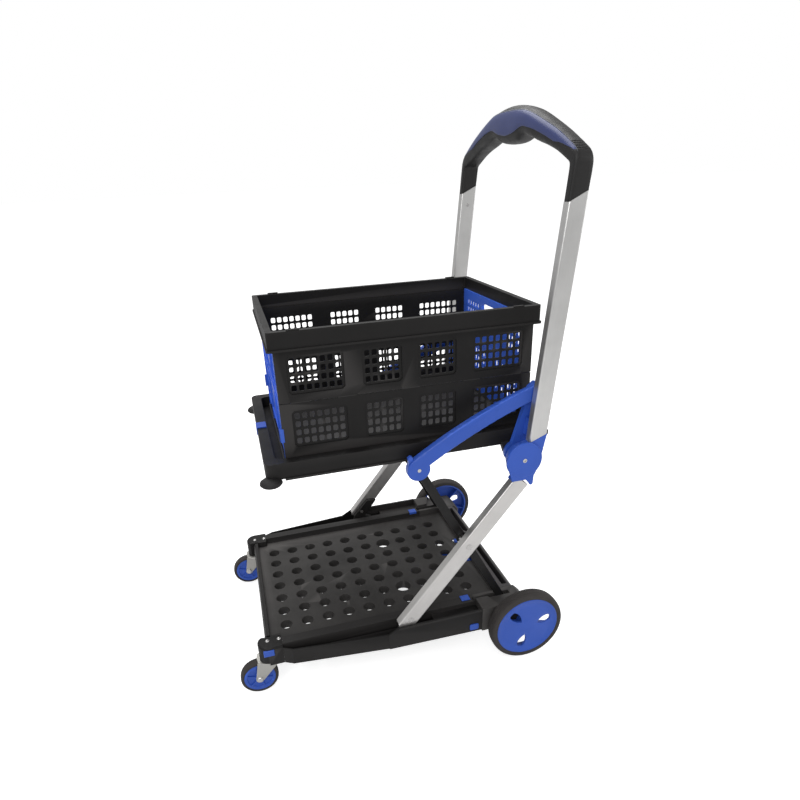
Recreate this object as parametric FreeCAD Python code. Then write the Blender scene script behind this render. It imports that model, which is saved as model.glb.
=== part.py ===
"""Folding platform cart with a lift-off folding crate.

Frame: origin on the floor under the middle of the cart's bounding box, +X towards the handle
(the rear), +Y to the right of a person pushing from behind, +Z up. Millimetres.
Parts called left are at -Y, right ones at +Y; each right part mirrors its left one.
"""
import FreeCAD
import Part

import math
import os

V = FreeCAD.Vector

# ---- driving dimensions -------------------------------------------------------------------
# Linkage, seen from the side: X, Z of the pivots at rest
PIVOT_REAR = (227.1, 110.4)       # strut foot, on the base
PIVOT_CROSS = (131.3, 291.3)      # where leg and strut cross
PIVOT_TRAY = (239.8, 469.0)       # leg top, tray rear and handle turn here
PIVOT_KNUCKLE = (35.9, 471.4)     # strut top and arm front
PIVOT_FOOT = (5.1, 139.0)         # leg foot, riding in its shoe
PIVOT_ARM = (275.5, 598.0)        # arm rear, on the handle tube

# Layers across the cart, as distances from the middle plane: inner face, outer face
LAYER_STRUT = (195.0, 204.5)
LAYER_ARM = (205.5, 220.5)
LAYER_TUBE = (221.5, 240.0)
LAYER_DISC = (240.6, 245.4)
LAYER_REAR_WHEEL = (247.5, 275.5)

PIN_R = 5.0
SMALL_PIN_R = 4.0
SCREW_TIP_R = 4.2
ROD_HALF = 219.0
RUNNING = 0.05                    # radial play of a hole round its pin

TUBE_WIDTH = 34.4
TUBE_WALL = 1.6
TUBE_EDGE_R = 3.0
HANDLE_LEAN = math.radians(5.67)
HANDLE_REF = (293.5, 768.0)       # a point on the handle tubes' centre line

REAR_WHEEL = (255.1, 82.0)        # centre X and radius
CASTER_STEM = (-291.0, 190.6)
CASTER_WHEEL_X = -312.5
CASTER_R = 39.0
CASTER_WIDTH = 19.0
CASTER_BEAD = 32.0
HUB_WINDOW_ANGLE = 14

DECK_TOP = 107.5
BASE_TOP = 122.0
BASE_FRONT = -291.0
BASE_REAR = 264.0
DECK_HALF = 186.0
DECK_FRONT = -279.9
DECK_REAR = 218.5
DECK_DEPTH = 20.0
DECK_PLATE = 3.0
DECK_COLLAR_WALL = 2.0
DECK_RIB = 1.8
HOLE_FIRST_X = -243.1
HOLE_PITCH = (45.8, 45.2)
HOLE_COLUMNS = 10
HOLE_ROWS = 7
HOLE_R = 12.8
LARGE_HOLE_R = 17.5
LARGE_HOLES = ((6, 1), (6, 5))      # column and row
LATCH_TAB_Y = 41.0

TRAY_X = (-243.0, 300.0)
TRAY_HALF = 192.0
POCKET_X = (-222.0, 288.0)
POCKET_HALF = 171.6
TRAY_TOP = 515.5
TRAY_BOTTOM = 484.0
TRAY_FLOOR_TOP = 492.0

CRATE_X = (-214.0, 293.4)
CRATE_HALF = 180.0
CRATE_TOP = 748.0
CRATE_BOTTOM = 492.6
CRATE_BAND = 34.0
CRATE_SEAM = 617.6
CRATE_WALL_Y = 167.4              # outer face of the long walls
CRATE_RIM_WIDTH = 13.5
GRID_PITCH = (13.54, 16.2)
GRID_HOLE = (9.4, 11.4)
GRID_COLUMNS = (7, 5, 5, 7)
GRID_ROWS = 4
END_HINGE_Z = 722.0
END_WALL_T = 3.4
SEAM_HINGES = (-205, -120, 0, 120, 205)
FOOT_CENTRE = (-235.0, -191.0)

os.makedirs("parts", exist_ok=True)


# ---- helpers ------------------------------------------------------------------------------
def box(x0, x1, y0, y1, z0, z1):
    return Part.makeBox(x1 - x0, y1 - y0, z1 - z0, V(x0, y0, z0))


def cyl_y(centre, r, y0, y1):
    return Part.makeCylinder(r, y1 - y0, V(centre[0], y0, centre[1]), V(0, 1, 0))


def cyl_z(x, y, r, z0, z1):
    return Part.makeCylinder(r, z1 - z0, V(x, y, z0), V(0, 0, 1))


def polygon(points):
    return Part.makePolygon(points + [points[0]])


def flat_face(paths):
    """Plane face from its outline and the outlines of its holes."""
    return Part.makeFace([polygon(path) for path in paths], "Part::FaceMakerBullseye")


def prism_y(outline, y0, y1, holes=()):
    """Solid between y0 and y1 from an outline of (x, z) points."""
    paths = [[V(x, y0, z) for x, z in path] for path in (outline, *holes)]
    return flat_face(paths).extrude(V(0, y1 - y0, 0))


def prism_z(outline, z0, z1, holes=()):
    paths = [[V(x, y, z0) for x, y in path] for path in (outline, *holes)]
    return flat_face(paths).extrude(V(0, 0, z1 - z0))


def prism_x(outline, x0, x1, holes=()):
    paths = [[V(x0, y, z) for y, z in path] for path in (outline, *holes)]
    return flat_face(paths).extrude(V(x1 - x0, 0, 0))


def fuse(shapes):
    first, *rest = [solid for shape in shapes for solid in shape.Solids]
    return first.multiFuse(rest).removeSplitter() if rest else first


def cut(shape, tools):
    return shape.cut(Part.makeCompound(tools))


def mirror(shape):
    return shape.mirror(V(0, 0, 0), V(0, 1, 0))


def arc_points(cx, cz, r, a0, a1, n):
    step = (a1 - a0) / n
    angles = [math.radians(a0 + step * i) for i in range(n + 1)]
    return [(cx + r * math.cos(a), cz + r * math.sin(a)) for a in angles]


def rounded_rect(x0, x1, y0, y1, r, n=5):
    corners = ((x1 - r, y0 + r, -90), (x1 - r, y1 - r, 0), (x0 + r, y1 - r, 90), (x0 + r, y0 + r, 180))
    points = []
    for cx, cy, start in corners:
        points += arc_points(cx, cy, r, start, start + 90, n)
    return points


def clipped_rect(x0, x1, z0, z1, c):
    return [(x0 + c, z0), (x1 - c, z0), (x1, z0 + c), (x1, z1 - c),
            (x1 - c, z1), (x0 + c, z1), (x0, z1 - c), (x0, z0 + c)]


def along(start, end):
    dx, dz = end[0] - start[0], end[1] - start[1]
    length = math.hypot(dx, dz)
    return length, (dx / length, dz / length)


def bar_outline(start, end, width, before, after):
    """Corners of a straight bar through two pivots, running past each by before and after."""
    length, (ux, uz) = along(start, end)
    nx, nz = -uz, ux
    half = width / 2

    def corner(distance, side):
        return (start[0] + ux * distance + nx * side, start[1] + uz * distance + nz * side)

    return [corner(-before, -half), corner(length + after, -half),
            corner(length + after, half), corner(-before, half)]


def soften(shape, radius, wanted):
    edges = [edge for edge in shape.Edges if wanted(edge)]
    try:
        rounded = shape.makeFillet(radius, edges)
        if rounded.isValid() and rounded.Volume > 0:
            return rounded
    except Exception:
        pass
    print("kept sharp edges")
    return shape


def long_edges(length):
    return lambda edge: edge.Length > length


def flip(layer):
    """Span in Y of a layer on the left side."""
    return -layer[1], -layer[0]


def save(name, shape):
    solids = shape.Solids
    shape = solids[0] if len(solids) == 1 else Part.makeCompound(solids)
    if not shape.isValid():
        print("invalid shape:", name)
    shape.exportStep("parts/" + name + ".step")
    return shape


def save_pair(name, left_shape):
    save(name + "_left", left_shape)
    save(name + "_right", mirror(left_shape))


def both_sides(shapes):
    return Part.makeCompound([solid for shape in shapes for solid in (shape, mirror(shape))])


# ---- base: perforated deck, beams, rails, corner pieces -----------------------------------
def hole_centres(first, pitch, columns, rows):
    middle = (rows - 1) / 2
    return [(first + pitch[0] * i, pitch[1] * (j - middle)) for i in range(columns) for j in range(rows)]


def deck_holes(z0, z1, wall=0.0):
    """Cylinders on the deck's hole pattern, with a wall round them if wanted."""
    cylinders = []
    for index, (x, y) in enumerate(hole_centres(HOLE_FIRST_X, HOLE_PITCH, HOLE_COLUMNS, HOLE_ROWS)):
        large = divmod(index, HOLE_ROWS) in LARGE_HOLES
        cylinders.append(cyl_z(x, y, (LARGE_HOLE_R if large else HOLE_R) + wall, z0, z1))
    return cylinders


def deck_panel():
    """Perforated plate on a grid of collars and ribs, notched for the corner caps and the latch."""
    half = DECK_HALF - 0.3
    bottom, under = DECK_TOP - DECK_DEPTH, DECK_TOP - DECK_PLATE
    parts = [box(DECK_FRONT, DECK_REAR, -half, half, under, DECK_TOP)]
    parts += deck_holes(bottom, under, DECK_COLLAR_WALL)
    centres = hole_centres(HOLE_FIRST_X, HOLE_PITCH, HOLE_COLUMNS, HOLE_ROWS)
    for y in sorted({y for x, y in centres}):
        parts.append(box(HOLE_FIRST_X - 12, 181, y - DECK_RIB / 2, y + DECK_RIB / 2, bottom, under))
    for x in sorted({x for x, y in centres}):
        parts.append(box(x - DECK_RIB / 2, x + DECK_RIB / 2, -165, 165, bottom, under))
    tools = deck_holes(bottom - 1, DECK_TOP + 1)
    tools.append(box(148, 190, -60, 60, bottom - 1, 94.6))
    for y in (-LATCH_TAB_Y, LATCH_TAB_Y):
        tools.append(box(206, 220, y - 9, y + 9, under - 2, DECK_TOP + 1))
    for y0, y1 in ((-190, -173.9), (173.9, 190)):
        tools.append(box(-281, -257.7, y0, y1, under - 2, DECK_TOP + 1))
    return cut(fuse(parts), tools)


def front_beam():
    profile = [(BASE_FRONT, 84), (BASE_FRONT, 116), (BASE_FRONT + 4, BASE_TOP), (-280, BASE_TOP),
               (-280, 88), (-284, 84)]
    beam = prism_y(profile, -174, 174)
    return beam


def rear_beam():
    body = box(219, BASE_REAR, -181.5, 181.5, 92, BASE_TOP)
    groove = [box(241, 253, y0, y1, 100, BASE_TOP + 1) for y0, y1 in ((-172, -6), (6, 172))]
    pocket = box(223, 237, -172, 172, 91, 116)
    chamfer = prism_y([(BASE_REAR - 8, BASE_TOP + 1), (BASE_REAR + 1, BASE_TOP + 1),
                       (BASE_REAR + 1, BASE_TOP - 8)], -182, 182)
    latch_gap = box(218, 223.5, -50, 50, 91, 117)
    return cut(body, groove + [pocket, chamfer, latch_gap])


RAIL_FRONT = -258.0
RAIL_REAR = 163.0
CHANNEL_REAR = 60.0
WALL_INNER = 241.3                # the rail's outer wall, as distances from the middle plane
WALL_OUTER = 244.7


def side_rail():
    """Inner beam, the channel that the leg's shoe runs in, and the flared outer wall."""
    inner = prism_z([(RAIL_FRONT, -207), (RAIL_REAR, -207), (RAIL_REAR, -186.2), (RAIL_FRONT, -186.2)],
                    80, BASE_TOP)
    floor = prism_z([(RAIL_FRONT, -215), (-240, -224), (-150, -233), (-40, -242), (RAIL_REAR, -242),
                     (RAIL_REAR, -206), (RAIL_FRONT, -206)], 79.6, 96)
    front_wall = prism_z([(RAIL_FRONT, -215), (-240, -224.5), (-150, -233), (-40, -WALL_OUTER),
                          (-40, -WALL_INNER), (-150, -229.5), (-238, -221.3), (RAIL_FRONT, -211.5)],
                         79.6, 116)
    rear_wall = prism_y([(-44, 78), (RAIL_REAR, 74), (RAIL_REAR, 128.5), (-22, 128.5), (-44, 116)],
                        -WALL_OUTER, -WALL_INNER)
    lip = box(-22, RAIL_REAR, -246.2, -244, 124, 128.5)
    behind = box(CHANNEL_REAR, RAIL_REAR, -WALL_INNER - 0.5, -206.5, 90, 112)
    rail = fuse([inner, floor, front_wall, rear_wall, lip, behind])
    strut_slot = box(158, RAIL_REAR + 1, -LAYER_STRUT[1] - 0.8, -LAYER_STRUT[0] + 0.8, 84, BASE_TOP + 1)
    core = box(RAIL_FRONT + 8, 120, -202, -191, 79, 112)
    return cut(rail, [strut_slot, core])


def corner_cap():
    outline = []
    outline += arc_points(-285.5, -193.5, 21.5, 180, 270, 8)
    outline += [(-258.05, -215), (-258.05, -181)]
    outline += arc_points(-292, -189, 15, 118, 180, 5)
    shell = prism_z(outline, 79.6, BASE_TOP + 0.5)
    top = BASE_TOP + 0.4
    shell = soften(shell, 3.5, lambda edge: edge.CenterOfMass.z > top and edge.CenterOfMass.x < -258.5)
    cavity = cyl_z(*left(CASTER_STEM), 24.5, 79, 84.3)
    stem_hole = cyl_z(*left(CASTER_STEM), 6 + RUNNING, 83, 112)
    beam_seat = box(-292, -258, -175, -170, 79, BASE_TOP + 1)
    rivet_holes = [cyl_z(x, -190, 3, BASE_TOP - 4, BASE_TOP + 1) for x in (-286.9, -263.5)]
    clip_seat = box(-297.5, -275.5, -216, -213.2, 104.8, 119.2)
    cap = cut(shell, [cavity, stem_hole, beam_seat, clip_seat] + rivet_holes)
    bridge = box(-279.9, -258.6, -181.1, -174.3, 96, BASE_TOP)
    return fuse([cap, bridge])


def left(point):
    return point[0], -point[1]


def wheel_housing():
    """Rear corner: carries the axle and the strut's foot pin."""
    outline = [(163.2, -206.8), (163.2, -186), (218.7, -186), (218.7, -182), (272, -182), (276, -186),
               (276, -236), (268, -244.6), (163.2, -244.6)]
    body = prism_z(outline, 70, BASE_TOP)
    corner = prism_z([(163.2, -244.6), (205, -244.6), (190, -206.8), (163.2, -206.8)], 121.9, 128.5)
    shape = fuse([body, corner])
    slot = box(160, 245, -LAYER_STRUT[1] - 0.8, -LAYER_STRUT[0] + 0.8, 92, BASE_TOP + 1)
    under = box(176, 236, -241, -208, 69, 116)
    under_rear = box(236, 272, -240, -226, 98, 118)
    axle_hole = cyl_y((REAR_WHEEL[0], REAR_WHEEL[1]), 6 + RUNNING, -246, -180)
    pin_hole = cyl_y(PIVOT_REAR, PIN_R, -207.5, -185)
    top_round = prism_y([(262, BASE_TOP + 1), (277, BASE_TOP + 1), (277, 108)], -246, -181)
    return cut(shape, [slot, under, under_rear, axle_hole, pin_hole, top_round])


def rear_axle():
    return Part.makeCylinder(6, 2 * 271.5, V(REAR_WHEEL[0], -271.5, REAR_WHEEL[1]), V(0, 1, 0))


def cap_rivets():
    rivets = []
    for x in (-286.9, -263.5):
        shaft = cyl_z(x, -190, 3, BASE_TOP - 4, BASE_TOP + 0.5)
        head = Part.makeSphere(5.2, V(x, -190, BASE_TOP - 2.2))
        head = head.common(box(x - 6, x + 6, -196, -184, BASE_TOP + 0.5, BASE_TOP + 4))
        rivets.append(fuse([shaft, head]))
    return both_sides(rivets)


def base_clips():
    cap_clip = prism_z(rounded_rect(-297.2, -275.8, -217.4, -213.3, 1.6), 105, 119)
    cap_clip = soften(cap_clip, 1.4, lambda edge: edge.Length > 15 and edge.CenterOfMass.y < -217)
    inner = box(134, 153, -200, -186.3, BASE_TOP + 0.05, BASE_TOP + 1.8)
    inner = fuse([inner, box(134, 153, -186.4, -184.0, BASE_TOP - 4, BASE_TOP + 1.8)])
    inner = cut(inner, [box(130, 160, -187, -186.15, BASE_TOP - 5, BASE_TOP + 0.05)])
    outer = prism_y(rounded_rect(134, 154, 80, 95, 4), -247.2, -WALL_OUTER - 0.05)
    outer = soften(outer, 1.2, lambda edge: edge.CenterOfMass.y < -247.1)
    return both_sides([cap_clip, inner, outer])


def deck_latch():
    """Foot latch under the deck's rear edge: a lever plate with two raised thumb tabs."""
    plate = box(150, 216.5, -46, 46, 88, 92)
    tabs = [box(209.5, 216, y - 6.5, y + 6.5, 91, 109) for y in (-LATCH_TAB_Y, LATCH_TAB_Y)]
    hinge = cyl_y((158, 90), 4.5, -46, 46)
    bore = cyl_y((158, 90), 2.5 + RUNNING, -47, 47)
    pedal = box(216, 239.0, -30, 30, 88, 91)
    return cut(fuse([plate, hinge, pedal] + tabs), [bore])


def base_pins():
    """The two pins that the struts' feet turn on, and the latch's pin with its end blocks."""
    strut_pin = cyl_y(PIVOT_REAR, PIN_R, -207.2, -186.2)
    latch_pin = cyl_y((158, 90), 2.5, -56, 56)
    blocks = [box(154, 162, y0, y1, 86, 94.4) for y0, y1 in ((-54, -48), (48, 54))]
    return Part.makeCompound([strut_pin, mirror(strut_pin), fuse([latch_pin] + blocks)])


# ---- running gear --------------------------------------------------------------------------
def revolve_y(profile, centre):
    """Turn a closed (radius, y) profile about the Y line through centre (x, z)."""
    x, z = centre
    wire = polygon([V(x + r, y, z) for r, y in profile])
    return Part.Face(wire).revolve(V(x, 0, z), V(0, 1, 0), 360)


def tyre(centre, radius, bead, y0, y1, crown):
    mid = (y0 + y1) / 2
    half = (y1 - y0) / 2
    steps = 10
    profile = [(bead, y0 + 1.2), (radius - crown, y0)]
    for i in range(steps + 1):
        a = math.radians(-90 + 180 * i / steps)
        y = mid + half * math.copysign(abs(math.sin(a)) ** 0.72, math.sin(a))
        profile.append((radius - crown + crown * max(math.cos(a), 0.0) ** 0.6, y))
    profile += [(radius - crown, y1), (bead, y1 - 1.2)]
    clean = []
    for point in profile:
        if not clean or math.dist(point, clean[-1]) > 0.05:
            clean.append(point)
    return revolve_y(clean, centre)


def leaf_slot(centre, angle, r0, r1, width, y0, y1):
    """A leaf-shaped window, pointed towards the hub's middle and blunt at its outer end."""
    shape = ((0.0, 0.0), (0.14, 0.42), (0.32, 0.78), (0.55, 1.0), (0.78, 0.98), (0.93, 0.8), (1.0, 0.55))
    upper = [(r0 + (r1 - r0) * t, width / 2 * w) for t, w in shape]
    points = upper + [(u, -w) for u, w in upper[:0:-1]]
    ca, sa = math.cos(angle), math.sin(angle)
    turned = [(centre[0] + u * ca - w * sa, centre[1] + u * sa + w * ca) for u, w in points]
    return prism_y(turned, y0, y1)


def rear_hub():
    """Dished hub, closed outside, with three leaf windows and ribs inside."""
    y_in, y_out = flip(LAYER_REAR_WHEEL)[::-1]
    centre = (REAR_WHEEL[0], REAR_WHEEL[1])
    rim_r = 69.6
    profile = [(rim_r, y_out + 1.2), (rim_r, y_in - 1.2), (rim_r - 3.5, y_in - 1.2),
               (rim_r - 3.5, y_out + 8), (14, y_out + 5.4), (14, y_in - 0.6), (6 + RUNNING, y_in - 0.6),
               (6 + RUNNING, y_out + 3.6),
               (0.01, y_out + 3.6), (0.01, y_out + 0.6), (24, y_out + 0.9), (52, y_out + 3.2),
               (rim_r - 4, y_out + 2.0), (rim_r - 2, y_out + 0.6)]
    body = revolve_y(profile, centre)
    ribs = []
    for i in range(6):
        rib = box(centre[0] + 12, centre[0] + rim_r - 2, y_out + 4, y_in - 6,
                  centre[1] - 1.1, centre[1] + 1.1)
        rib.rotate(V(centre[0], 0, centre[1]), V(0, 1, 0), -HUB_WINDOW_ANGLE + 30 + 60 * i)
        ribs.append(rib)
    angles = [math.radians(HUB_WINDOW_ANGLE + 120 * i) for i in range(3)]
    windows = [leaf_slot(centre, angle, 21, 54, 18.5, y_out - 1, y_in + 1) for angle in angles]
    return cut(fuse([body] + ribs), windows)


def caster_fork():
    x, y = left(CASTER_STEM)
    stem = cyl_z(x, y, 6, 83.6, 106)
    crown = cyl_z(x, y, 22, 79.3, 83.8)
    gap = CASTER_WIDTH / 2 + 1.6
    cheek_outline = [(-312, 83), (-268, 83), (-270.5, 73)]
    cheek_outline += arc_points(CASTER_WHEEL_X, CASTER_R, 8.2, -28, -175, 8)
    cheeks = []
    for side in (-1, 1):
        inner, outer = y + side * gap, y + side * (gap + 3)
        cheeks.append(prism_y(cheek_outline, min(inner, outer), max(inner, outer)))
    plate = box(-312, -268, y - gap - 3, y + gap + 3, 79, 83)
    back = box(-271.5, -268.5, y - gap - 3, y + gap + 3, 75, 80)
    axle = cyl_y((CASTER_WHEEL_X, CASTER_R), 4, y - gap - 4.6, y + gap + 4.6)
    swept = cut(box(-350, -230, y - 45, y + 45, 79.3, 84), [cyl_z(x, y, 24, 78, 85)])
    return cut(fuse([stem, crown, plate, back, axle] + cheeks), [swept])


def caster_hub():
    """Round hub with a raised boss, a raised outer ring and six spokes between them."""
    y = -CASTER_STEM[1]
    half = CASTER_WIDTH / 2
    r = CASTER_BEAD
    side = [(4 + RUNNING, half + 0.8), (10, half + 0.8), (11, half - 3.5), (25, half - 3.5),
            (26.5, half - 0.8), (r, half - 0.8)]
    profile = [(radius, y - w) for radius, w in side] + [(radius, y + w) for radius, w in side[::-1]]
    body = revolve_y(profile, (CASTER_WHEEL_X, CASTER_R))
    spokes = []
    for i in range(6):
        spoke = box(CASTER_WHEEL_X + 9, CASTER_WHEEL_X + 27, y - half + 1.2, y + half - 1.2,
                    CASTER_R - 1.6, CASTER_R + 1.6)
        spoke.rotate(V(CASTER_WHEEL_X, 0, CASTER_R), V(0, 1, 0), 15 + 60 * i)
        spokes.append(spoke)
    return fuse([body] + spokes)


# ---- linkage -------------------------------------------------------------------------------
def strut():
    """Flat black strut from the foot pin to the knuckle, with round ends."""
    y0, y1 = flip(LAYER_STRUT)
    bar = prism_y(bar_outline(PIVOT_REAR, PIVOT_KNUCKLE, 17.0, 0, 0), y0, y1)
    ends = [cyl_y(PIVOT_REAR, 9.5, y0, y1), cyl_y(PIVOT_KNUCKLE, 11, y0, y1)]
    middle = cyl_y(PIVOT_CROSS, 12, y0, y1)
    holes = [cyl_y(PIVOT_REAR, PIN_R + RUNNING, y0 - 1, y1 + 1),
             cyl_y(PIVOT_CROSS, SMALL_PIN_R + RUNNING, y0 - 1, y1 + 1),
             cyl_y(PIVOT_KNUCKLE, PIN_R, y0 - 1, y1 + 1)]
    return cut(fuse([bar, middle] + ends), holes)


def cross_rod():
    """Rod under the tray that joins the two struts and carries the arms at its ends."""
    half = ROD_HALF
    return Part.makeCylinder(PIN_R, 2 * half, V(PIVOT_KNUCKLE[0], -half, PIVOT_KNUCKLE[1]), V(0, 1, 0))


LEG_FOOT_OVER = 45.0
LEG_FOOT_Z = 125.5                 # level of the leg's cut end
LEG_FOOT_X = -21.0
LEG_TOP_GAP = 36.0


def leg_top_distance():
    """How far past the crossing pivot the leg runs: it stops short of the handle's hub."""
    length, (ux, uz) = along(PIVOT_FOOT, PIVOT_CROSS)
    dx, dz = PIVOT_TRAY[0] - PIVOT_CROSS[0], PIVOT_TRAY[1] - PIVOT_CROSS[1]
    forward = dx * ux + dz * uz
    return forward - LEG_TOP_GAP


def leg():
    y0, y1 = flip(LAYER_TUBE)
    outline = bar_outline(PIVOT_FOOT, PIVOT_CROSS, TUBE_WIDTH, LEG_FOOT_OVER, leg_top_distance())
    outer = prism_y(outline, y0, y1)
    outer = soften(outer, TUBE_EDGE_R, long_edges(250))
    core_outline = bar_outline(PIVOT_FOOT, PIVOT_CROSS, TUBE_WIDTH - 2 * TUBE_WALL, LEG_FOOT_OVER + 5,
                               leg_top_distance() + 5)
    core = prism_y(core_outline, y0 + TUBE_WALL, y1 - TUBE_WALL)
    holes = [cyl_y(pivot, SMALL_PIN_R, y0 - 1, y1 + 1) for pivot in (PIVOT_CROSS, PIVOT_FOOT)]
    foot_level = box(-120, 120, y0 - 1, y1 + 1, 40, LEG_FOOT_Z)
    foot_front = box(-120, LEG_FOOT_X, y0 - 1, y1 + 1, 40, 200)
    return cut(outer, [core, foot_level, foot_front] + holes)


def pin_with_heads(centre, r, y_inner, y_outer, head_r, head_t):
    pin = cyl_y(centre, r, y_outer, y_inner)
    head = cyl_y(centre, head_r, y_outer - head_t, y_outer)
    return fuse([pin, head])


def leg_rivets():
    cross = pin_with_heads(PIVOT_CROSS, SMALL_PIN_R, -LAYER_STRUT[0] + 0.6, -LAYER_TUBE[1] - 0.02, 6, 0.8)
    spacer = cyl_y(PIVOT_CROSS, 10, -LAYER_TUBE[0] + 0.02, -LAYER_STRUT[1] - 0.4)
    foot = pin_with_heads(PIVOT_FOOT, SMALL_PIN_R, -208.4, -LAYER_TUBE[1] - 0.02, 6, 0.8)
    return both_sides([fuse([cross, spacer]), foot])


def leg_shoe():
    """Slider that carries the leg's foot pin along the base's channel, behind the leg."""
    lug = [(-17, 99.5), (31, 99.5), (31, 118), (14, 125), (46, 168), (22, 170), (-16, 128), (-17, 122)]
    body = prism_y(lug, -220.6, -209.6)
    hole = cyl_y(PIVOT_FOOT, SMALL_PIN_R + RUNNING, -222, -207)
    return cut(body, [hole])


def leg_socket():
    """Blue socket over the leg's top: a round cheek outside and a sleeve round the tube."""
    disc = cyl_y(PIVOT_TRAY, 37, -LAYER_DISC[1], -LAYER_DISC[0])
    disc = soften(disc, 2.6, lambda edge: edge.Length > 150 and edge.CenterOfMass.y < -LAYER_DISC[1] + 0.1)
    ax, az = PIVOT_TRAY
    skirt = prism_y([(ax - 33, az - 12), (ax + 33, az - 12), (ax + 21, az - 36), (ax + 20, az - 52),
                     (ax + 18, az - 55), (ax + 14, az - 55), (ax + 11, az - 50), (ax + 4, az - 42),
                     (ax - 24, az - 42), (ax - 26, az - 36)], -LAYER_DISC[1] + 0.6, -LAYER_DISC[0])
    length, (ux, uz) = along(PIVOT_FOOT, PIVOT_CROSS)
    end = leg_top_distance()
    start = (PIVOT_CROSS[0] + ux * (end - 12), PIVOT_CROSS[1] + uz * (end - 12))
    stop = (PIVOT_CROSS[0] + ux * (end + 2.5), PIVOT_CROSS[1] + uz * (end + 2.5))
    sleeve_outline = bar_outline(start, stop, TUBE_WIDTH + 4, 0, 0)
    sleeve = prism_y(sleeve_outline, -LAYER_DISC[0] - 0.1, -LAYER_TUBE[0] + 0.4)
    keep = box(ax - 120, ax + 120, -260, -200, az - 44, az + 60)
    sleeve = sleeve.common(keep)
    bore = prism_y(bar_outline(start, stop, TUBE_WIDTH, 6, -2.5), -LAYER_TUBE[1], -LAYER_TUBE[0])
    hub_room = cyl_y(PIVOT_TRAY, 30.6, -LAYER_TUBE[1] - 0.6, -LAYER_TUBE[0] + 1)
    sleeve = cut(sleeve, [bore, hub_room])
    hole = cyl_y(PIVOT_TRAY, PIN_R + RUNNING, -LAYER_DISC[1] + 1.3, -LAYER_DISC[0] + 1)
    tip_hole = cyl_y(PIVOT_TRAY, SCREW_TIP_R + RUNNING, -LAYER_DISC[1] - 1, -LAYER_DISC[1] + 2)
    return cut(fuse([disc, skirt] + sleeve.Solids), [hole, tip_hole])


def arm():
    """Curved blue arm from the knuckle to the handle tube."""
    y0, y1 = flip(LAYER_ARM)
    bx, bz = PIVOT_KNUCKLE
    fx, fz = PIVOT_ARM
    top = Part.Arc(V(bx - 12, y0, bz + 20), V(bx + 89, y0, bz + 79), V(fx - 4, y0, fz + 12.5))
    end = Part.Arc(V(fx - 4, y0, fz + 12.5), V(fx + 13, y0, fz), V(fx + 4, y0, fz - 12.5))
    bottom = Part.Arc(V(fx + 4, y0, fz - 12.5), V(bx + 91, y0, bz + 47), V(bx + 15, y0, bz + 3))
    close = Part.LineSegment(V(bx + 15, y0, bz + 3), V(bx - 12, y0, bz + 20))
    wire = Part.Wire([curve.toShape() for curve in (top, end, bottom, close)])
    blade = Part.Face(wire).extrude(V(0, y1 - y0, 0))
    blade = soften(blade, 2.5, lambda edge: edge.Length > 200)
    knuckle = cyl_y(PIVOT_KNUCKLE, 22.6, y0, y1)
    knuckle = soften(knuckle, 3.0, lambda edge: edge.Length > 100 and edge.CenterOfMass.y < y0 + 0.1)
    tab = prism_y([(bx - 19, bz + 10), (bx - 9, bz + 16), (bx - 11, bz + 27), (bx - 15, bz + 29.5),
                   (bx - 20, bz + 26)], y0 + 4, y1 - 3)
    hole = cyl_y(PIVOT_KNUCKLE, PIN_R + RUNNING, -ROD_HALF - 0.3, y1 + 1)
    return cut(fuse([blade, knuckle, tab]), [hole])


def arm_rivets():
    """Rivet heads: outside each knuckle, and inside each arm's rear end."""
    knuckle = cyl_y(PIVOT_KNUCKLE, 3.6, -LAYER_ARM[1] - 0.65, -LAYER_ARM[1] - 0.05)
    return both_sides([knuckle, cyl_y(PIVOT_ARM, 5, -LAYER_ARM[0] + 0.05, -LAYER_ARM[0] + 0.85)])


# ---- handle --------------------------------------------------------------------------------
SIN_LEAN = math.sin(HANDLE_LEAN)
COS_LEAN = math.cos(HANDLE_LEAN)


def handle_point(n, y, s):
    """n across the tubes (rearward), y across the cart, s up along the tubes."""
    return V(HANDLE_REF[0] + n * COS_LEAN + s * SIN_LEAN, y, HANDLE_REF[1] - n * SIN_LEAN + s * COS_LEAN)


def handle_xz(n, s):
    p = handle_point(n, 0, s)
    return p.x, p.z


TUBE_FOOT_S = (-268.5, -250.5)     # front and rear corners of the angled cut at the bottom
TUBE_HEAD_S = (156.0, 177.0)       # and at the grip


def handle_tube():
    y0, y1 = flip(LAYER_TUBE)
    half = TUBE_WIDTH / 2
    outline = [handle_xz(-half, TUBE_FOOT_S[0]), handle_xz(half, TUBE_FOOT_S[1]),
               handle_xz(half, TUBE_HEAD_S[1]), handle_xz(-half, TUBE_HEAD_S[0])]
    outer = soften(prism_y(outline, y0, y1), TUBE_EDGE_R, long_edges(250))
    inner = half - TUBE_WALL
    core = prism_y([handle_xz(-inner, TUBE_FOOT_S[0] - 8), handle_xz(inner, TUBE_FOOT_S[0] - 8),
                    handle_xz(inner, TUBE_HEAD_S[1] + 8), handle_xz(-inner, TUBE_HEAD_S[1] + 8)],
                   y0 + TUBE_WALL, y1 - TUBE_WALL)
    return cut(outer, [core])


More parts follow.
